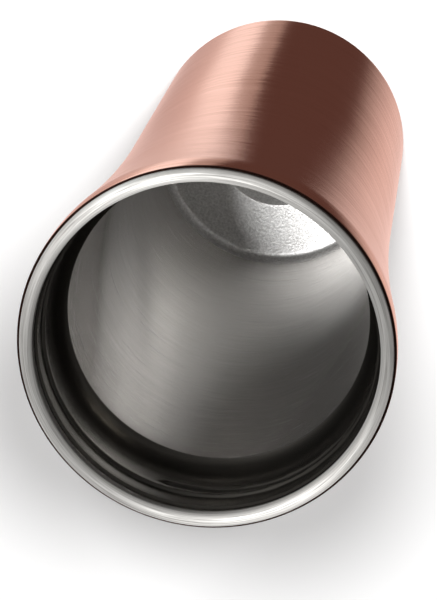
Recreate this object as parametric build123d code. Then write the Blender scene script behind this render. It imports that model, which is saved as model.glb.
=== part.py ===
from build123d import *
import math
import os

# An open double-walled vacuum vessel with a flared, threaded mouth, standing upright.
# +Z is up. The origin is the centre of the underside of the silicone foot ring.
# All lengths are millimetres. Outlines are drawn as radius and height, then turned about Z.
# A "drop" is a depth below the mouth plane, and a "rise" is a height above the piece's own base.

# Driving dimensions
FOOT_PROUD = 0.8  # the foot ring stands this far below the shell
BODY_HEIGHT = 182.3  # underside of the shell to the mouth plane
MOUTH_Z = FOOT_PROUD + BODY_HEIGHT  # plane where the lip is widest

# Outer shell
SHELL_WALL = 0.5
SHELL_MOUTH_R = 41.6
SHELL_WAIST_R = 34.6
SHELL_FOOT_R = 33.6
SHELL_CORNER_R = 4.5
SHELL_LAND_R = 28.0  # inner edge of the turned-in land under the shell
SHELL_TOP_DROP = 0.35
WAIST_DROP = 105.2  # where the straight taper turns into the flare
FLARE_DROP = 9.0  # where the flare turns into the mouth's easing arc
EASE_GAIN = 0.38  # radius that the easing arc still gains

# Inner liner
LINER_WALL = 0.5
LIP_R = 41.0
LIP_FLANGE = 1.5  # the lip's outer edge reaches this far down inside the shell
SEAT_R = 38.1  # smooth seat for a lid's seal, just inside the lip
SEAT_LENGTH = 2.8
NECK_R = 37.6
SHOULDER_DROP = 17.5
KINK_R = 34.2
KINK_DROP = 24.4
LINER_FOOT_R = 31.6

# Internal screw thread, rolled into the neck: one start, right-handed
THREAD_PITCH = 3.5
THREAD_TURNS = 1.5
THREAD_END_DROP = 12.8
THREAD_END_ANGLE = 91.0  # where the ridge's deep end lies, round from +X
THREAD_DEPTH = 0.75
THREAD_ROOT_WIDTH = 2.4
THREAD_CREST_WIDTH = 0.9
THREAD_BITE = 0.25  # the ridge's root is sunk this far into the liner wall

# Inner bottom
BOTTOM_DROP = 171.0
BOTTOM_CORNER_R = 1.9
BOTTOM_FLANGE = 2.5
DISH_R = 16.3  # outer edge of the pressed step
DISH_FLOOR_R = 13.6
DISH_DEPTH = 2.2

# Vacuum bottom, which closes the shell from below
VACUUM_WALL = 0.6
VACUUM_RIM_R = 29.0
PAN_MOUTH_R = 27.6
PAN_R = 26.2
PAN_RISE = 1.5
DIMPLE_R = 8.5
DIMPLE_FLOOR_R = 6.5
DIMPLE_RISE = 2.1
PUMP_HOLE_R = 1.0

# Base cover, adhesive tape and foot ring
COVER_WALL = 0.5
COVER_R = 27.8
CHANNEL_OUTER_R = 25.8
CHANNEL_INNER_R = 19.6
CHANNEL_SLOPE = 0.4
CHANNEL_RISE = 0.6
RING_OUTER_R = 25.2
RING_INNER_R = 20.2
RING_EDGE_R = 0.35
TAPE_OUTER_R = 24.8
TAPE_INNER_R = 20.6

# Pieces sealed in the vacuum
BEAD_R = 4.2
BEAD_HANG = 1.2
FOIL_THICKNESS = 0.15
FOIL_GAP = 0.2
FOIL_SEAM_ANGLE = 4.0
FOIL_TOP_DROP = 30.0
GETTER_AT_R = 17.0
GETTER_R = 3.4
GETTER_HEIGHT = 1.8
CLIP_LENGTH = 12.0
CLIP_WIDTH = 4.4
CLIP_THICKNESS = 0.3
CLIP_TAB = 1.2

# Heights that follow from the driving dimensions
land_top_z = FOOT_PROUD + SHELL_WALL
pan_z = land_top_z + PAN_RISE
channel_z = FOOT_PROUD + CHANNEL_RISE
bottom_z = MOUTH_Z - BOTTOM_DROP
corner_z = bottom_z + BOTTOM_CORNER_R
weld_z = corner_z + BOTTOM_FLANGE


def spun(outline, angle=360.0):
    """A closed outline of radius and height, turned about the upright axis."""
    return revolve(Plane.XZ * make_face(outline), Axis.Z, angle)


def sheet(edges, wall, side=Side.LEFT, angle=360.0):
    """Sheet metal of one thickness: the edges are one face, and side says where the metal lies."""
    path = Wire([edge.edge() for edge in edges])
    return spun(offset(path, amount=wall, side=side, kind=Kind.TANGENT), angle)


def washer(outer_r, inner_r, low_z, height):
    """A flat ring, or a disc when its inner radius is nothing."""
    corners = [(inner_r, low_z), (outer_r, low_z), (outer_r, low_z + height), (inner_r, low_z + height)]
    return spun(Polyline(*corners, close=True))


def liner_radius(z):
    """Inside radius of the liner's tapered wall at a height."""
    share = (MOUTH_Z - KINK_DROP - z) / (MOUTH_Z - KINK_DROP - corner_z)
    return KINK_R + (LINER_FOOT_R - KINK_R) * share


def outer_shell():
    """Flared outer wall with a rounded foot corner and a turned-in land."""
    waist_z = MOUTH_Z - WAIST_DROP
    flare_z = MOUTH_Z - FLARE_DROP
    taper = (SHELL_WAIST_R - SHELL_FOOT_R) / (waist_z - FOOT_PROUD)
    flare_r = SHELL_MOUTH_R - EASE_GAIN
    chord_lean = math.atan((flare_r - SHELL_WAIST_R) / (flare_z - waist_z))
    flare_lean = 2 * chord_lean - math.atan(taper)  # lean of the wall at the flare's upper end
    ease_z = flare_z + EASE_GAIN * math.sin(flare_lean) / (1 - math.cos(flare_lean))
    foot_corner_z = FOOT_PROUD + SHELL_CORNER_R
    foot_corner_r = SHELL_FOOT_R + taper * SHELL_CORNER_R
    land_end = (foot_corner_r - SHELL_CORNER_R, FOOT_PROUD)
    outside = [
        Line((SHELL_LAND_R, FOOT_PROUD), land_end),
        TangentArc(land_end, (foot_corner_r, foot_corner_z), tangent=(1, 0)),
        Line((foot_corner_r, foot_corner_z), (SHELL_WAIST_R, waist_z)),
        TangentArc((SHELL_WAIST_R, waist_z), (flare_r, flare_z), tangent=(taper, 1)),
        TangentArc((flare_r, flare_z), (SHELL_MOUTH_R, ease_z), tangent=(math.tan(flare_lean), 1)),
        Line((SHELL_MOUTH_R, ease_z), (SHELL_MOUTH_R, MOUTH_Z - SHELL_TOP_DROP)),
    ]
    return sheet(outside, SHELL_WALL)


def thread_ridge():
    """Helical ridge inside the neck, sunk a little into the wall."""
    path = Helix(
        pitch=THREAD_PITCH,
        height=THREAD_PITCH * THREAD_TURNS,
        radius=NECK_R + THREAD_BITE,
        center=(0, 0, MOUTH_Z - THREAD_END_DROP),
    )
    crest = -THREAD_DEPTH - THREAD_BITE
    section = Polygon(
        (0, -THREAD_ROOT_WIDTH / 2),
        (0, THREAD_ROOT_WIDTH / 2),
        (crest, THREAD_CREST_WIDTH / 2),
        (crest, -THREAD_CREST_WIDTH / 2),
        align=None,
    )
    start = Plane(origin=path @ 0, x_dir=(1, 0, 0), z_dir=path % 0)
    return Rot(Z=THREAD_END_ANGLE) * sweep(start * section, path, is_frenet=True)


def inner_liner():
    """Drawn inner wall: rolled lip, seal seat, threaded neck, shoulder and tapered wall."""
    lip_bend_r = (LIP_R - SEAT_R) / 2
    seat_end_z = MOUTH_Z - SEAT_LENGTH
    neck_top_z = seat_end_z - (SEAT_R - NECK_R)
    shoulder_z = MOUTH_Z - SHOULDER_DROP
    kink_z = MOUTH_Z - KINK_DROP
    lip_top = (LIP_R - lip_bend_r, MOUTH_Z + lip_bend_r)
    inside = [
        Line((LIP_R, MOUTH_Z - LIP_FLANGE), (LIP_R, MOUTH_Z)),
        ThreePointArc((LIP_R, MOUTH_Z), lip_top, (SEAT_R, MOUTH_Z)),
        Line((SEAT_R, MOUTH_Z), (SEAT_R, seat_end_z)),
        Line((SEAT_R, seat_end_z), (NECK_R, neck_top_z)),
        Line((NECK_R, neck_top_z), (NECK_R, shoulder_z)),
        TangentArc((NECK_R, shoulder_z), (KINK_R, kink_z), tangent=(0, -1)),
        Line((KINK_R, kink_z), (liner_radius(weld_z), weld_z)),
    ]
    return sheet(inside, LINER_WALL) + thread_ridge()


def inner_bottom():
    """Pressed floor of the liner: upturned flange, corner, flat rim and a recessed dish."""
    flange_r = liner_radius(weld_z)
    flat_r = LINER_FOOT_R - BOTTOM_CORNER_R
    dish_z = bottom_z - DISH_DEPTH
    bend = BOTTOM_CORNER_R * math.sqrt(0.5)
    inside = [
        Line((flange_r, weld_z), (LINER_FOOT_R, corner_z)),
        ThreePointArc((LINER_FOOT_R, corner_z), (flat_r + bend, corner_z - bend), (flat_r, bottom_z)),
        Line((flat_r, bottom_z), (DISH_R, bottom_z)),
        Line((DISH_R, bottom_z), (DISH_FLOOR_R, dish_z)),
        Line((DISH_FLOOR_R, dish_z), (0, dish_z)),
    ]
    return sheet(inside, LINER_WALL)


def outer_bottom():
    """Vacuum bottom: flat welding rim, shallow pan and a central dimple with the pump hole."""
    dimple_z = pan_z + DIMPLE_RISE
    underside = [
        Line((VACUUM_RIM_R, land_top_z), (PAN_MOUTH_R, land_top_z)),
        Line((PAN_MOUTH_R, land_top_z), (PAN_R, pan_z)),
        Line((PAN_R, pan_z), (DIMPLE_R, pan_z)),
        Line((DIMPLE_R, pan_z), (DIMPLE_FLOOR_R, dimple_z)),
        Line((DIMPLE_FLOOR_R, dimple_z), (PUMP_HOLE_R, dimple_z)),
    ]
    return sheet(underside, VACUUM_WALL, Side.RIGHT)


def sealing_bead():
    """Glass solder that fills the pump hole and hangs as a flat drop in the dimple."""
    dimple_z = pan_z + DIMPLE_RISE
    drop = [
        Line((0, dimple_z + VACUUM_WALL), (PUMP_HOLE_R, dimple_z + VACUUM_WALL)),
        Line((PUMP_HOLE_R, dimple_z + VACUUM_WALL), (PUMP_HOLE_R, dimple_z)),
        Line((PUMP_HOLE_R, dimple_z), (BEAD_R, dimple_z)),
        TangentArc((BEAD_R, dimple_z), (0, dimple_z - BEAD_HANG), tangent=(1, 0), tangent_from_first=False),
        Line((0, dimple_z - BEAD_HANG), (0, dimple_z + VACUUM_WALL)),
    ]
    return spun(Wire([edge.edge() for edge in drop]))


def base_cover():
    """Pressed disc under the vessel with a ring channel for the foot."""
    underside = [
        Line((COVER_R, FOOT_PROUD), (CHANNEL_OUTER_R, FOOT_PROUD)),
        Line((CHANNEL_OUTER_R, FOOT_PROUD), (CHANNEL_OUTER_R - CHANNEL_SLOPE, channel_z)),
        Line((CHANNEL_OUTER_R - CHANNEL_SLOPE, channel_z), (CHANNEL_INNER_R + CHANNEL_SLOPE, channel_z)),
        Line((CHANNEL_INNER_R + CHANNEL_SLOPE, channel_z), (CHANNEL_INNER_R, FOOT_PROUD)),
        Line((CHANNEL_INNER_R, FOOT_PROUD), (0, FOOT_PROUD)),
    ]
    return sheet(underside, COVER_WALL, Side.RIGHT)


def foot_ring():
    """Silicone ring with eased lower edges, standing in the cover's channel."""
    ring = washer(RING_OUTER_R, RING_INNER_R, 0, channel_z)
    lower_edges = ring.edges().filter_by(GeomType.CIRCLE).group_by(Axis.Z)[0]
    return fillet(lower_edges, RING_EDGE_R)


def cover_tape():
    """Ring of adhesive tape that holds the base cover to the vacuum bottom."""
    tape_z = channel_z + COVER_WALL
    return washer(TAPE_OUTER_R, TAPE_INNER_R, tape_z, pan_z - tape_z)


def wall_foil():
    """Copper foil wrapped round the liner's tapered wall, open at its seam."""
    top_z = MOUTH_Z - FOIL_TOP_DROP
    stand_off = LINER_WALL + FOIL_GAP
    face = [Line((liner_radius(top_z) + stand_off, top_z), (liner_radius(weld_z) + stand_off, weld_z))]
    return sheet(face, FOIL_THICKNESS, Side.LEFT, 360 - FOIL_SEAM_ANGLE)


def floor_foil():
    """Copper foil disc hung under the liner's floor, with a hole for the dish."""
    low_z = bottom_z - LINER_WALL - FOIL_GAP - FOIL_THICKNESS
    outer_r = LINER_FOOT_R - BOTTOM_CORNER_R
    inner_r = DISH_R + LINER_WALL + FOIL_GAP
    return washer(outer_r, inner_r, low_z, FOIL_THICKNESS)


def getter_clip():
    """Thin strip welded to the vacuum bottom, its two ends turned up round the getter."""
    low_z = pan_z + VACUUM_WALL
    strip = Pos(GETTER_AT_R, 0, low_z + CLIP_THICKNESS / 2) * Box(CLIP_WIDTH, CLIP_LENGTH, CLIP_THICKNESS)
    tab_y = CLIP_LENGTH / 2 - CLIP_THICKNESS / 2
    tab = Box(CLIP_WIDTH, CLIP_THICKNESS, CLIP_TAB)
    tab_z = low_z + CLIP_THICKNESS + CLIP_TAB / 2
    return strip + [Pos(GETTER_AT_R, y, tab_z) * tab for y in (-tab_y, tab_y)]


def getter_pellet():
    """Pressed getter tablet lying on its clip."""
    low_z = pan_z + VACUUM_WALL + CLIP_THICKNESS
    return Pos(GETTER_AT_R, 0, low_z + GETTER_HEIGHT / 2) * Cylinder(GETTER_R, GETTER_HEIGHT)


PARTS = (
    outer_shell,
    inner_liner,
    inner_bottom,
    outer_bottom,
    sealing_bead,
    base_cover,
    cover_tape,
    foot_ring,
    wall_foil,
    floor_foil,
    getter_clip,
    getter_pellet,
)

os.makedirs("parts", exist_ok=True)
for make in PARTS:
    export_step(make(), f"parts/{make.__name__}.step")
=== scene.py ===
import math

import bmesh
import bpy
from mathutils import Matrix, Vector

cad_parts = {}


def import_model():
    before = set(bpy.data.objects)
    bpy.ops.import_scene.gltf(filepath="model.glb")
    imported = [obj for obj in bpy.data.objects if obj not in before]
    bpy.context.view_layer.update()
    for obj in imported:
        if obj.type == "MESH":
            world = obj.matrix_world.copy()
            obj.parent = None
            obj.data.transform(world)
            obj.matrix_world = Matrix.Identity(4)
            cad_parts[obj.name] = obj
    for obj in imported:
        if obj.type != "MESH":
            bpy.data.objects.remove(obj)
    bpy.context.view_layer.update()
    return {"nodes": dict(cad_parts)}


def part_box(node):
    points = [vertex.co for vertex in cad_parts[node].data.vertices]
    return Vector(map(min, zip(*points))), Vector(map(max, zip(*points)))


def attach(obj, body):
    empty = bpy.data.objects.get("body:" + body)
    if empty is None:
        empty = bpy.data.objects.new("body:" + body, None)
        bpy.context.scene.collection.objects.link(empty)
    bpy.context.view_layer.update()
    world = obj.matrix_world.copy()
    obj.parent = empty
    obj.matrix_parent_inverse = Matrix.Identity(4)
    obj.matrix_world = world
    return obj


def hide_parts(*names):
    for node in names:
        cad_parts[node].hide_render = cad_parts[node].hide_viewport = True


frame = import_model()

# ---------------------------------------------------------------------------
# Sizes, in metres. Heights and radii come from the CAD nodes' boxes; the rest
# are the vessel's own details. A "drop" is a depth below the mouth plane.
# ---------------------------------------------------------------------------
MM = 0.001
shell_low, shell_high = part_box("outer_shell")
liner_low, liner_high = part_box("inner_liner")
floor_low, floor_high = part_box("inner_bottom")
cover_low, cover_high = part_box("base_cover")
ring_low, ring_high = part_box("foot_ring")

SEGMENTS = 288
AXIS_R = 0.0001 * MM  # a point nearer the axis than this is on it
RING_STEP, WALL_STEP = 2.0 * MM, 5.0 * MM
SHEET_WALL = 0.5 * MM
LIP_WIDTH = 2.9 * MM
LIP_FLANGE = 1.5 * MM
SHELL_EDGE_R = 0.2 * MM

mouth_r = shell_high.x
lip_r = liner_high.x
mouth_z = liner_high.z - LIP_WIDTH / 2
shell_top_z = shell_high.z
shell_foot_z = shell_low.z
weld_z = floor_high.z

WAIST_R, FOOT_R = 34.6 * MM, 33.6 * MM
WAIST_DROP, FLARE_DROP, EASE_GAIN = 105.2 * MM, 9.0 * MM, 0.38 * MM
FOOT_CORNER_R, LAND_R = 4.5 * MM, 28.0 * MM

seat_r = lip_r - LIP_WIDTH
SEAT_LENGTH = 2.8 * MM
NECK_R = 37.6 * MM
SHOULDER_DROP, KINK_DROP, KINK_R = 17.5 * MM, 24.4 * MM, 34.2 * MM
LINER_FOOT_R = 31.6 * MM

THREAD_PITCH, THREAD_TURNS, THREAD_DEPTH = 3.5 * MM, 1.5, 0.75 * MM
THREAD_ROOT, THREAD_CREST = 2.4 * MM, 0.9 * MM
THREAD_END_DROP, THREAD_END_ANGLE = 12.8 * MM, math.radians(91.0)
THREAD_FADE = math.radians(6.0)

BOTTOM_DROP, BOTTOM_CORNER_R = 171.0 * MM, 1.9 * MM
DISH_R, DISH_FLOOR_R, DISH_DEPTH = 16.3 * MM, 13.6 * MM, 2.2 * MM

CHANNEL_OUTER_R, CHANNEL_INNER_R = 25.8 * MM, 19.6 * MM
CHANNEL_SLOPE, CHANNEL_RISE = 0.4 * MM, 0.6 * MM
RING_WIDTH, RING_EDGE_R = 5.0 * MM, 0.35 * MM

CAMERA_TILT = math.radians(18.966)  # between the line of sight and straight down
CAMERA_ROLL = math.radians(199.86)
CAMERA_DISTANCE = 15.894  # these three are in lip radii, from the mouth's centre
CAMERA_RIGHT = -0.0689
CAMERA_DOWN = 0.2682
CAMERA_LENS = 180.0


# ---------------------------------------------------------------------------
# Outlines, as lists of (radius, height)
# ---------------------------------------------------------------------------
def rounded(corners, steps=7):
    """A polyline of (radius, height, rounding) corners, with each corner eased by its rounding."""
    points = []
    for i, (r, z, ease) in enumerate(corners):
        here = Vector((r, z))
        if not ease or i in (0, len(corners) - 1):
            points.append((r, z))
            continue
        before = (Vector(corners[i - 1][:2]) - here).normalized()
        after = (Vector(corners[i + 1][:2]) - here).normalized()
        half = before.angle(after) / 2
        centre = here + (before + after).normalized() * ease / math.sin(half)
        start = here + before * ease / math.tan(half) - centre
        end = here + after * ease / math.tan(half) - centre
        turn = start.angle_signed(end)
        for k in range(steps + 1):
            spoke = start.copy()
            spoke.rotate(Matrix.Rotation(-turn * k / steps, 2))
            points.append(tuple(centre + spoke))
    return points


def tangent_arc(start, heading, end, steps):
    """Points after start on the arc that leaves it along heading and reaches end."""
    start, end, heading = Vector(start), Vector(end), Vector(heading).normalized()
    chord = end - start
    lean = heading.angle_signed(chord)
    points = []
    for k in range(1, steps + 1):
        share = k / steps
        reach = chord.length * math.sin(lean * share) / math.sin(lean)
        step = heading.copy()
        step.rotate(Matrix.Rotation(-lean * share, 2))
        points.append(tuple(start + step * reach))
    return points


def even(points, step=RING_STEP):
    """The same path with its long runs divided, so that smooth shading stays true."""
    result = [points[0]]
    for a, b in zip(points, points[1:]):
        pieces = max(1, math.ceil(math.dist(a, b) / step))
        for k in range(1, pieces + 1):
            result.append((a[0] + (b[0] - a[0]) * k / pieces, a[1] + (b[1] - a[1]) * k / pieces))
    return result


def thickened(path, wall):
    """A closed outline: the path, then back along its other face, to the left of its heading."""
    other = []
    for i, point in enumerate(path):
        a = Vector(path[max(i - 1, 0)])
        b = Vector(path[min(i + 1, len(path) - 1)])
        heading = (b - a).normalized()
        other.append((point[0] - heading.y * wall, point[1] + heading.x * wall))
    # In a tight inside corner the offset crosses itself; those points are too near the path.
    clear = [p for p in other if min(math.dist(p, q) for q in path) > 0.97 * wall]
    clear = [(max(r, 0.0), z) for r, z in clear]
    return path + clear[::-1]


# ---------------------------------------------------------------------------
# Meshes
# ---------------------------------------------------------------------------
def lathe(name, outline, relief=None, crease=32.0):
    """A closed outline turned round the upright axis. relief(angle, r, z) moves a point outward."""
    vertices, rings, faces = [], [], []
    for r, z in outline:
        if r < AXIS_R:
            rings.append([len(vertices)])
            vertices.append((0.0, 0.0, z))
            continue
        ring = []
        for k in range(SEGMENTS):
            angle = 2 * math.pi * k / SEGMENTS
            radius = r + (relief(angle, r, z) if relief else 0.0)
            ring.append(len(vertices))
            vertices.append((radius * math.cos(angle), radius * math.sin(angle), z))
        rings.append(ring)
    for a, b in zip(rings, rings[1:] + rings[:1]):
        if len(a) == len(b) == 1:
            continue
        for k in range(SEGMENTS):
            n = (k + 1) % SEGMENTS
            corners = [a[k % len(a)], a[n % len(a)], b[n % len(b)], b[k % len(b)]]
            faces.append(tuple(dict.fromkeys(corners)))
    mesh = bpy.data.meshes.new(name)
    mesh.from_pydata(vertices, [], faces)
    mesh.validate()
    piece = bpy.data.objects.new(name, mesh)
    bpy.context.scene.collection.objects.link(piece)
    outward(mesh)
    mesh.shade_smooth()
    mesh.set_sharp_from_angle(angle=math.radians(crease))
    return piece


def outward(mesh):
    """Turns every face to point out of the closed mesh."""
    work = bmesh.new()
    work.from_mesh(mesh)
    bmesh.ops.recalc_face_normals(work, faces=work.faces)
    work.to_mesh(mesh)
    work.free()


def shell_outline():
    waist_z, flare_z = mouth_z - WAIST_DROP, mouth_z - FLARE_DROP
    taper = (WAIST_R - FOOT_R) / (waist_z - shell_foot_z)
    flare_r = mouth_r - EASE_GAIN
    chord = math.atan((flare_r - WAIST_R) / (flare_z - waist_z))
    lean = 2 * chord - math.atan(taper)
    ease_z = flare_z + EASE_GAIN * math.sin(lean) / (1 - math.cos(lean))
    edge = SHELL_EDGE_R
    path = rounded([
        (LAND_R, shell_foot_z, 0),
        (FOOT_R, shell_foot_z, FOOT_CORNER_R),
        (WAIST_R, waist_z, 0),
    ], steps=16)
    path += tangent_arc((WAIST_R, waist_z), (taper, 1), (flare_r, flare_z), 48)
    path += tangent_arc((flare_r, flare_z), (math.tan(lean), 1), (mouth_r, ease_z), 6)
    path.append((mouth_r, shell_top_z - edge))
    for k in range(1, 5):
        turn = math.pi / 2 * k / 4
        path.append((mouth_r - edge * (1 - math.cos(turn)), shell_top_z - edge * (1 - math.sin(turn))))
    inner_top = (mouth_r - SHEET_WALL, shell_top_z)
    outside = even(path)
    inside = [p for p in thickened(outside, SHEET_WALL)[len(outside):] if p[1] < shell_top_z - edge]
    return outside + [inner_top] + inside


def thread_relief(angle, r, z):
    """How far the rolled thread pushes the neck's face inward at a point."""
    if r <= seat_r - 3 * SHEET_WALL or z < mouth_z - SHOULDER_DROP:
        return 0.0
    from_end = (angle - THREAD_END_ANGLE) % (2 * math.pi)
    push = 0.0
    for turn in range(2):
        run = from_end + 2 * math.pi * turn
        left = 2 * math.pi * THREAD_TURNS - run
        if left <= 0:
            continue
        fade = min(1.0, run / THREAD_FADE, left / THREAD_FADE)
        fade = math.sqrt(max(0.0, 1 - (1 - fade) ** 2))
        middle = mouth_z - THREAD_END_DROP + THREAD_PITCH * run / (2 * math.pi)
        root = THREAD_CREST / 2 + (THREAD_ROOT - THREAD_CREST) / 2 * max(fade, 0.2)
        side = (root - abs(z - middle)) / max(root - THREAD_CREST / 2 * fade, 1e-6)
        side = min(1.0, max(0.0, side))
        push = max(push, THREAD_DEPTH * fade * side * side * (3 - 2 * side))
    return -push


def liner_outline():
    bend = LIP_WIDTH / 2
    seat_end_z = mouth_z - SEAT_LENGTH
    path = [(lip_r, mouth_z - LIP_FLANGE)]
    for k in range(29):
        turn = math.pi * k / 28
        path.append((lip_r - bend + bend * math.cos(turn), mouth_z + bend * math.sin(turn)))
    step = seat_r - NECK_R
    path += rounded([
        (seat_r, mouth_z - 0.5 * MM, 0),
        (seat_r, seat_end_z, 0.12 * MM),
        (NECK_R, seat_end_z - step, 0.12 * MM),
        (NECK_R, seat_end_z - 2.0 * MM, 0),
    ], steps=4)
    thread_low = mouth_z - THREAD_END_DROP - 2.0 * MM
    path = even(path)
    path += even([path[-1], (NECK_R, thread_low)], 0.15 * MM)[1:]
    path.append((NECK_R, mouth_z - SHOULDER_DROP))
    path += tangent_arc(path[-1], (0, -1), (KINK_R, mouth_z - KINK_DROP), 22)
    path = path[:-1]
    corner_z = mouth_z - BOTTOM_DROP + BOTTOM_CORNER_R
    share = (mouth_z - KINK_DROP - weld_z) / (mouth_z - KINK_DROP - corner_z)
    weld_r = KINK_R + (LINER_FOOT_R - KINK_R) * share
    path = path[:-1] + rounded([
        (*path[-1], 0),
        (KINK_R, mouth_z - KINK_DROP, 0.25 * MM),
        (weld_r, weld_z, 0),
    ], steps=6)
    return thickened(even(path, WALL_STEP), SHEET_WALL)


def floor_outline():
    floor_z = mouth_z - BOTTOM_DROP
    corner_z = floor_z + BOTTOM_CORNER_R
    share = (mouth_z - KINK_DROP - weld_z) / (mouth_z - KINK_DROP - corner_z)
    weld_r = KINK_R + (LINER_FOOT_R - KINK_R) * share
    path = rounded([
        (weld_r, weld_z, 0),
        (LINER_FOOT_R, floor_z, BOTTOM_CORNER_R),
        (DISH_R, floor_z, 0.8 * MM),
        (DISH_FLOOR_R, floor_z - DISH_DEPTH, 0.8 * MM),
        (0, floor_z - DISH_DEPTH, 0),
    ], steps=12)
    return thickened(even(path), SHEET_WALL)


def cover_outline():
    z, high = cover_low.z, cover_low.z + CHANNEL_RISE
    path = rounded([
        (0, z, 0),
        (CHANNEL_INNER_R, z, 0.25 * MM),
        (CHANNEL_INNER_R + CHANNEL_SLOPE, high, 0.25 * MM),
        (CHANNEL_OUTER_R - CHANNEL_SLOPE, high, 0.25 * MM),
        (CHANNEL_OUTER_R, z, 0.25 * MM),
        (cover_high.x, z, 0),
    ], steps=5)
    return thickened(even(path), SHEET_WALL)


def ring_outline():
    """The foot ring, with rounded lower edges."""
    inner, outer = ring_high.x - RING_WIDTH, ring_high.x
    low, high = ring_low.z, ring_high.z
    return rounded([
        (inner, high, 0),
        (inner, low, RING_EDGE_R),
        (outer, low, RING_EDGE_R),
        (outer, high, 0),
    ], steps=5)


# ---------------------------------------------------------------------------
# Materials
# ---------------------------------------------------------------------------
def material(name):
    """A new material with its Principled shader: (material, nodes, link, shader)."""
    made = bpy.data.materials.new(name)
    made.use_nodes = True
    tree = made.node_tree
    shader = tree.nodes["Principled BSDF"]
    return made, tree.nodes, tree.links.new, shader


def noise(nodes, link, vector, detail):
    node = nodes.new("ShaderNodeTexNoise")
    node.inputs["Scale"].default_value = 1.0
    node.inputs["Detail"].default_value = detail
    node.inputs["Roughness"].default_value = 0.65
    link(vector, node.inputs["Vector"])
    return node.outputs["Fac"]


def grain(nodes, link, frequency, detail=4.0):
    """Even noise, with its frequency per metre."""
    place = nodes.new("ShaderNodeTexCoord")
    scale = nodes.new("ShaderNodeMapping")
    scale.inputs["Scale"].default_value = (frequency,) * 3
    link(place.outputs["Object"], scale.inputs["Vector"])
    return noise(nodes, link, scale.outputs["Vector"], detail)


# How fast the streaks change with radius, against height, so that flat rims have them too.
STREAKS_BY_RADIUS = 1.6


def streaks(nodes, link, around, across, detail=4.0):
    """Noise drawn out round the axis: its frequencies along the brushing and across it, per metre."""
    place = nodes.new("ShaderNodeTexCoord")
    flatten = nodes.new("ShaderNodeVectorMath")
    flatten.operation = "MULTIPLY"
    flatten.inputs[1].default_value = (1.0, 1.0, 0.0)
    radius = nodes.new("ShaderNodeVectorMath")
    radius.operation = "LENGTH"
    axes = nodes.new("ShaderNodeSeparateXYZ")
    profile = nodes.new("ShaderNodeMath")
    profile.operation = "MULTIPLY_ADD"
    profile.inputs[1].default_value = STREAKS_BY_RADIUS
    joined = nodes.new("ShaderNodeCombineXYZ")
    scale = nodes.new("ShaderNodeMapping")
    scale.inputs["Scale"].default_value = (around, around, across)
    link(place.outputs["Object"], flatten.inputs[0])
    link(place.outputs["Object"], axes.inputs["Vector"])
    link(flatten.outputs["Vector"], radius.inputs[0])
    link(radius.outputs["Value"], profile.inputs[0])
    link(axes.outputs["Z"], profile.inputs[2])
    link(axes.outputs["X"], joined.inputs["X"])
    link(axes.outputs["Y"], joined.inputs["Y"])
    link(profile.outputs["Value"], joined.inputs["Z"])
    link(joined.outputs["Vector"], scale.inputs["Vector"])
    return noise(nodes, link, scale.outputs["Vector"], detail)


def ramp(nodes, link, source, stops):
    """A colour ramp over source: stops are (position, grey or colour)."""
    node = nodes.new("ShaderNodeValToRGB")
    elements = node.color_ramp.elements
    while len(elements) < len(stops):
        elements.new(0.5)
    for element, (position, value) in zip(elements, stops):
        element.position = position
        shade = (value, value, value) if isinstance(value, float) else value
        element.color = (*shade, 1.0)
    link(source, node.inputs["Fac"])
    return node.outputs["Color"]


def bump(nodes, link, shader, source, distance, normal=None):
    node = nodes.new("ShaderNodeBump")
    node.inputs["Distance"].default_value = distance
    link(source, node.inputs["Height"])
    if normal:
        link(normal, node.inputs["Normal"])
    link(node.outputs["Normal"], shader.inputs["Normal"])


def radial_tangent(nodes, link, shader):
    node = nodes.new("ShaderNodeTangent")
    node.direction_type = "RADIAL"
    node.axis = "Z"
    link(node.outputs["Tangent"], shader.inputs["Tangent"])
    return node.outputs["Tangent"]


def leaning_normal(nodes, link, tangent, source, reach):
    """The surface's normal, leaned along the tangent by up to half of reach as source varies."""
    centred = nodes.new("ShaderNodeMath")
    centred.operation = "MULTIPLY_ADD"
    centred.inputs[1].default_value = reach
    centred.inputs[2].default_value = -reach / 2
    link(source, centred.inputs[0])
    lean = nodes.new("ShaderNodeVectorMath")
    lean.operation = "SCALE"
    link(tangent, lean.inputs[0])
    link(centred.outputs["Value"], lean.inputs["Scale"])
    geometry = nodes.new("ShaderNodeNewGeometry")
    total = nodes.new("ShaderNodeVectorMath")
    total.operation = "ADD"
    link(geometry.outputs["Normal"], total.inputs[0])
    link(lean.outputs["Vector"], total.inputs[1])
    unit = nodes.new("ShaderNodeVectorMath")
    unit.operation = "NORMALIZE"
    link(total.outputs["Vector"], unit.inputs[0])
    return unit.outputs["Vector"]


# A quarter turn from the tangent, which runs round the axis as the brushing does.
ACROSS_THE_BRUSHING = 0.25
SEAM_SHADE_WIDTH = 0.15 * MM  # the dull edge at the top of the shell, coloured dark as painted shade for the gap by the lip
LIP_FINISH_DROP = 1.5 * MM  # the lip's brushing fades out about here


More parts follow.
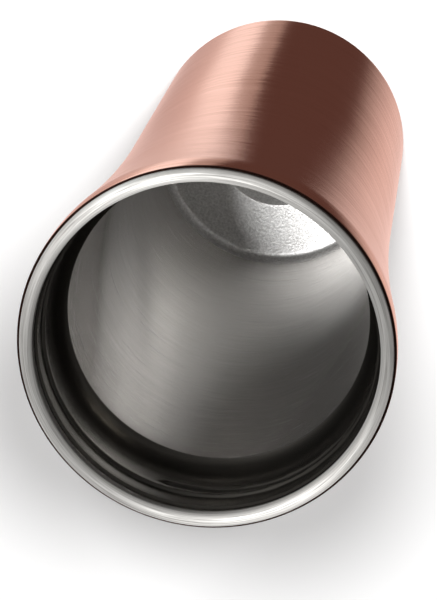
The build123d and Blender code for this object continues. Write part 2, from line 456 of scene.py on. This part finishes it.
def copper_finish():
    """Copper-coloured plating over steel brushed round the axis, dull at the seam by the lip, with
    painted shade there: the seam is coloured dark for the shadow in the gap.
    """
    made, nodes, link, shader = material("brushed_copper_plating")
    shader.inputs["Metallic"].default_value = 1.0
    shader.inputs["Anisotropic"].default_value = 0.95
    shader.inputs["Anisotropic Rotation"].default_value = ACROSS_THE_BRUSHING
    shader.inputs["Specular Tint"].default_value = (1.0, 0.76, 0.68, 1.0)
    hair = streaks(nodes, link, 25.0, 1300.0, 6.0)
    bristle = streaks(nodes, link, 60.0, 900.0, 2.0)
    shade = ramp(nodes, link, hair, [(0.3, (0.80, 0.46, 0.37)), (0.7, (0.93, 0.58, 0.49))])
    # Painted shade: the top edge of the shell is coloured dark brown for the shadow in the gap under the
    # lip.
    seam_shade_z = shell_top_z - SEAM_SHADE_WIDTH
    shade = step_by_height(nodes, link, seam_shade_z, 0.1 * MM, shade, (0.20, 0.095, 0.075))
    link(shade, shader.inputs["Base Color"])
    gloss = ramp(nodes, link, hair, [(0.3, 0.17), (0.7, 0.12)])
    link(step_by_height(nodes, link, seam_shade_z, 0.1 * MM, gloss, (0.6,) * 3), shader.inputs["Roughness"])
    tangent = radial_tangent(nodes, link, shader)
    leaned = leaning_normal(nodes, link, tangent, bristle, 0.10)
    bump(nodes, link, shader, hair, 0.00001, leaned)
    return made


def liner_finish():
    """Steel: a brushed lip, a polished neck coloured dark as painted shade and, below the kink, a satin
    wall.
    """
    made, nodes, link, shader = material("liner_steel")
    shader.inputs["Metallic"].default_value = 1.0
    shader.inputs["Anisotropic"].default_value = 0.8
    shader.inputs["Anisotropic Rotation"].default_value = ACROSS_THE_BRUSHING
    hair = streaks(nodes, link, 60.0, 2600.0)
    shade = ramp(nodes, link, hair, [(0.3, (0.41, 0.395, 0.38)), (0.7, (0.49, 0.475, 0.455))])
    brushed = ramp(nodes, link, hair, [(0.3, (0.27, 0.262, 0.25)), (0.7, (0.60, 0.59, 0.57))])
    # Painted shade: above the kink the neck and shoulder are coloured near black, much darker than the
    # steel below.
    shade = step_by_height(nodes, link, mouth_z - KINK_DROP, 0.4 * MM, shade, (0.12, 0.112, 0.1))
    shade = step_by_height(nodes, link, mouth_z - LIP_FINISH_DROP, 1.0 * MM, shade, brushed)
    link(shade, shader.inputs["Base Color"])
    satin = ramp(nodes, link, hair, [(0.3, 0.28), (0.7, 0.22)])
    brushed = ramp(nodes, link, hair, [(0.3, 0.72), (0.7, 0.5)])
    gloss = step_by_height(nodes, link, mouth_z - KINK_DROP - 0.3 * MM, 0.4 * MM, satin, (0.22,) * 3)
    gloss = step_by_height(nodes, link, mouth_z - LIP_FINISH_DROP, 1.0 * MM, gloss, brushed)
    link(gloss, shader.inputs["Roughness"])
    radial_tangent(nodes, link, shader)
    bump(nodes, link, shader, hair, 0.0000006)
    return made


def step_by_height(nodes, link, height, blend, below, above):
    """One value below a height on the piece and another, constant or linked, above it."""
    place = nodes.new("ShaderNodeTexCoord")
    axes = nodes.new("ShaderNodeSeparateXYZ")
    link(place.outputs["Object"], axes.inputs["Vector"])
    share = nodes.new("ShaderNodeMapRange")
    share.inputs["From Min"].default_value = height - blend / 2
    share.inputs["From Max"].default_value = height + blend / 2
    link(axes.outputs["Z"], share.inputs["Value"])
    mix = nodes.new("ShaderNodeMix")
    mix.data_type = "RGBA"
    link(share.outputs["Result"], mix.inputs["Factor"])
    link(below, mix.inputs["A"])
    if isinstance(above, tuple):
        mix.inputs["B"].default_value = (*above, 1.0)
    else:
        link(above, mix.inputs["B"])
    return mix.outputs["Result"]


def blasted_finish():
    """Bead-blasted steel."""
    made, nodes, link, shader = material("blasted_floor_steel")
    shader.inputs["Metallic"].default_value = 1.0
    beads = grain(nodes, link, 1500.0, 3.0)
    shade = ramp(nodes, link, beads, [(0.3, (0.50, 0.49, 0.48)), (0.7, (0.76, 0.755, 0.745))])
    link(shade, shader.inputs["Base Color"])
    link(ramp(nodes, link, beads, [(0.3, 0.56), (0.7, 0.46)]), shader.inputs["Roughness"])
    bump(nodes, link, shader, beads, 0.0001)
    return made


def plain_finish(name, colour, roughness, metallic=0.0, frequency=1200.0, depth=0.00002):
    """A matt or satin solid with a fine grain in its colour, gloss and surface."""
    made, nodes, link, shader = material(name)
    shader.inputs["Metallic"].default_value = metallic
    fine = grain(nodes, link, frequency)
    dark = tuple(c * 0.88 for c in colour)
    light = tuple(min(1.0, c * 1.1) for c in colour)
    link(ramp(nodes, link, fine, [(0.3, dark), (0.7, light)]), shader.inputs["Base Color"])
    gloss = ramp(nodes, link, fine, [(0.3, roughness + 0.06), (0.7, roughness - 0.06)])
    link(gloss, shader.inputs["Roughness"])
    bump(nodes, link, shader, fine, depth)
    return made


def dress(piece, finish):
    """Gives a piece, or a carried-over CAD node, one finish all over."""
    slots = piece.data.materials
    if not slots:
        slots.append(finish)
    for i in range(len(slots)):
        slots[i] = finish


def stand_in(name, outline, node, finish, relief=None):
    """A detailed piece that stands for one CAD node."""
    piece = lathe(name, outline, relief)
    dress(piece, finish)
    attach(piece, "root")
    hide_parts(node)
    return piece


steel_sheet = plain_finish("mill_steel_sheet", (0.50, 0.49, 0.47), 0.34, 1.0)
cover_steel = plain_finish("cover_steel", (0.60, 0.59, 0.57), 0.32, 1.0)
silicone = plain_finish("foot_silicone", (0.045, 0.043, 0.042), 0.62, 0.0, 2500.0)
foil = plain_finish("copper_foil", (0.86, 0.50, 0.36), 0.2, 1.0, 400.0, 0.0001)
getter_powder = plain_finish("getter_powder", (0.30, 0.29, 0.28), 0.6, 0.4, 3000.0)
solder_glass = plain_finish("solder_glass", (0.10, 0.11, 0.09), 0.12)
tape = plain_finish("tape", (0.75, 0.74, 0.70), 0.6)

shell = stand_in("copper_shell", shell_outline(), "outer_shell", copper_finish())
stand_in("steel_liner", liner_outline(), "inner_liner", liner_finish(), thread_relief)
stand_in("pressed_floor", floor_outline(), "inner_bottom", blasted_finish())
stand_in("foot_cover", cover_outline(), "base_cover", cover_steel)
stand_in("silicone_foot", ring_outline(), "foot_ring", silicone)

for node, finish in {
    "outer_bottom": steel_sheet,
    "getter_clip": steel_sheet,
    "getter_pellet": getter_powder,
    "wall_foil": foil,
    "floor_foil": foil,
    "sealing_bead": solder_glass,
    "cover_tape": tape,
}.items():
    dress(frame["nodes"][node], finish)


# ---------------------------------------------------------------------------
# Stage: floor, light and camera
# ---------------------------------------------------------------------------
FLOOR_WIDTH = 6.0


def stage_floor():
    mesh = bpy.data.meshes.new("floor")
    half = FLOOR_WIDTH / 2
    corners = [(-half, -half, 0), (half, -half, 0), (half, half, 0), (-half, half, 0)]
    mesh.from_pydata(corners, [], [(0, 1, 2, 3)])
    floor = bpy.data.objects.new("floor", mesh)
    bpy.context.scene.collection.objects.link(floor)
    made, nodes, link, shader = material("pale_floor")
    shader.inputs["Base Color"].default_value = (0.9, 0.9, 0.9, 1)
    shader.inputs["Roughness"].default_value = 0.8
    shader.inputs["Specular IOR Level"].default_value = 0.0
    mesh.materials.append(made)
    # The metal mirrors the strips of light below the floor, not the floor itself.
    floor.visible_glossy = False
    floor.visible_shadow = False
    return floor


def toward(azimuth, elevation):
    """The direction at an azimuth, from +X towards +Y, and an elevation above the floor, in degrees."""
    a, e = math.radians(azimuth), math.radians(elevation)
    return Vector((math.cos(a) * math.cos(e), math.sin(a) * math.cos(e), math.sin(e)))


def area_light(name, azimuth, elevation, width, height, power, distance=1.4):
    """A softbox that faces the vessel."""
    data = bpy.data.lights.new(name, "AREA")
    data.shape = "ELLIPSE"
    data.size, data.size_y, data.energy = width, height, power
    lamp = bpy.data.objects.new(name, data)
    bpy.context.scene.collection.objects.link(lamp)
    back = toward(azimuth, elevation)
    lamp.location = Vector((0, 0, mouth_z / 2)) + back * distance
    lamp.rotation_mode = "QUATERNION"
    lamp.rotation_quaternion = (-back).to_track_quat("-Z", "Y")
    return lamp


def floor_sun(name, azimuth, elevation, strength, spread):
    """An even light with a soft shadow; spread is its angle across, in degrees."""
    data = bpy.data.lights.new(name, "SUN")
    data.energy, data.angle = strength, math.radians(spread)
    lamp = bpy.data.objects.new(name, data)
    bpy.context.scene.collection.objects.link(lamp)
    lamp.rotation_mode = "QUATERNION"
    lamp.rotation_quaternion = (-toward(azimuth, elevation)).to_track_quat("-Z", "Y")
    return lamp


def aim_at(lamp, state, *pieces):
    """Gives a lamp's light to some pieces alone (INCLUDE), or to all but those pieces (EXCLUDE)."""
    group = bpy.data.collections.new(f"{lamp.name}_receivers")
    for piece in pieces:
        group.objects.link(piece)
    for entry in group.collection_objects:
        entry.light_linking.link_state = state
    lamp.light_linking.receiver_collection = group


def camera():
    """Looks down into the mouth from the -Y side, rolled so that the foot points up and right."""
    forward = Vector((0, math.sin(CAMERA_TILT), -math.cos(CAMERA_TILT)))
    level = Vector((0, math.cos(CAMERA_TILT), math.sin(CAMERA_TILT)))
    right = math.cos(CAMERA_ROLL) * Vector((1, 0, 0)) + math.sin(CAMERA_ROLL) * level
    down = forward.cross(right)
    mouth = Vector((0, 0, mouth_z))
    offset = CAMERA_RIGHT * right + CAMERA_DOWN * down + CAMERA_DISTANCE * forward
    data = bpy.data.cameras.new("camera")
    data.lens = CAMERA_LENS
    data.sensor_width = 36.0
    data.clip_start, data.clip_end = 0.01, 20.0
    eye = bpy.data.objects.new("camera", data)
    bpy.context.scene.collection.objects.link(eye)
    turn = Matrix((right, -down, -forward)).transposed().to_4x4()
    eye.matrix_world = Matrix.Translation(mouth - offset * lip_r) @ turn
    bpy.context.scene.camera = eye


# Strips of light and a dark card stand round the vessel below the floor, fanning out from a point
# towards +Y: (turn from -Y, positive towards +X, in degrees; radiance).
BRIGHT, SOFT, PALE = (1.18, 1.32, 1.37), (0.66, 0.61, 0.60), (1.2, 1.11, 1.09)
SHADE, DARK = (0.45, 0.43, 0.41), (0.107, 0.067, 0.058)
DUSK, EVENING, DAY = (0.36, 0.34, 0.33), (0.57, 0.55, 0.54), (0.91, 0.85, 0.83)
STRIPS = [
    (-180, PALE), (-138, PALE), (-111, DAY), (-84, DAY), (-62, EVENING), (-51, DUSK), (-41, DARK),
    (23, DARK), (26, SHADE), (38.5, SHADE), (40, BRIGHT), (67, BRIGHT), (69, SOFT), (112, SOFT),
    (138, PALE), (180, PALE),
]
STRIP_FAN = 0.1  # how far towards +Y of straight down the strips fan out from
OVERHEAD, OVERHEAD_REACH = 0.9, (3.0, 9.0)
DOME, DOME_REACH = 0.05, (20.0, 36.0)
SIDES, SIDES_REACH = 0.18, (20.0, 45.0)  # up to these elevations
SKY_EDGE, GROUND_EDGE = (-0.02, 0.06), (-0.02, 0.12)  # where each fades in, up or down from the horizon
BACKDROP = (1.0, 1.0, 1.0)


def world():
    """Sky for the reflections: a soft lamp overhead, dim sides, and the strips below."""
    made = bpy.data.worlds.new("studio")
    bpy.context.scene.world = made
    made.use_nodes = True
    nodes, link = made.node_tree.nodes, made.node_tree.links.new
    place = nodes.new("ShaderNodeTexCoord")
    axes = nodes.new("ShaderNodeSeparateXYZ")
    link(place.outputs["Generated"], axes.inputs["Vector"])

    def math_node(operation, *terms):
        node = nodes.new("ShaderNodeMath")
        node.operation = operation
        for socket, term in zip(node.inputs, terms):
            if isinstance(term, (int, float)):
                socket.default_value = term
            else:
                link(term, socket)
        return node.outputs["Value"]

    def soft_step(value, low, high):
        node = nodes.new("ShaderNodeMapRange")
        node.interpolation_type = "SMOOTHSTEP"
        node.inputs["From Min"].default_value = low
        node.inputs["From Max"].default_value = high
        link(value, node.inputs["Value"])
        return node.outputs["Result"]

    x, y, z = (axes.outputs[axis] for axis in "XYZ")
    inner, outer = (math.cos(math.radians(angle)) for angle in OVERHEAD_REACH)
    overhead = math_node("MULTIPLY", soft_step(z, outer, inner), OVERHEAD)
    inner, outer = (math.cos(math.radians(angle)) for angle in DOME_REACH)
    overhead = math_node("MULTIPLY_ADD", soft_step(z, outer, inner), DOME, overhead)
    inner, outer = (math.sin(math.radians(angle)) for angle in SIDES_REACH)
    sides = math_node("MULTIPLY", soft_step(z, outer, inner), soft_step(z, *SKY_EDGE))
    azimuth = math_node("ARCTAN2", x, math_node("SUBTRACT", STRIP_FAN, y))
    turn = math_node("MULTIPLY_ADD", azimuth, 1 / (2 * math.pi), 0.5)
    strips = ramp(nodes, link, turn, [(a / 360 + 0.5, colour) for a, colour in STRIPS])
    sky = nodes["Background"]
    sky.inputs["Color"].default_value = (1.0, 0.985, 0.965, 1)
    link(math_node("MULTIPLY_ADD", sides, SIDES, overhead), sky.inputs["Strength"])
    ground = nodes.new("ShaderNodeBackground")
    link(strips, ground.inputs["Color"])
    link(soft_step(math_node("MULTIPLY", z, -1.0), *GROUND_EDGE), ground.inputs["Strength"])
    both = nodes.new("ShaderNodeAddShader")
    link(sky.outputs["Background"], both.inputs[0])
    link(ground.outputs["Background"], both.inputs[1])
    # The eye sees a plain pale backdrop; the metal mirrors the sky and the strips.
    backdrop = nodes.new("ShaderNodeBackground")
    backdrop.inputs["Color"].default_value = (*BACKDROP, 1.0)
    rays = nodes.new("ShaderNodeLightPath")
    seen = nodes.new("ShaderNodeMixShader")
    link(rays.outputs["Is Camera Ray"], seen.inputs["Fac"])
    link(both.outputs["Shader"], seen.inputs[1])
    link(backdrop.outputs["Background"], seen.inputs[2])
    link(seen.outputs["Shader"], nodes["World Output"].inputs["Surface"])


floor = stage_floor()
aim_at(area_light("key", 8, 77, 0.2, 0.2, 23), "EXCLUDE", floor, shell)
aim_at(floor_sun("floor_sun_left", -72, 63, 2.0, 10), "INCLUDE", floor)
aim_at(floor_sun("floor_sun_right", -104, 62, 2.0, 10), "INCLUDE", floor)
camera()
world()
bpy.context.scene.view_settings.view_transform = "Standard"
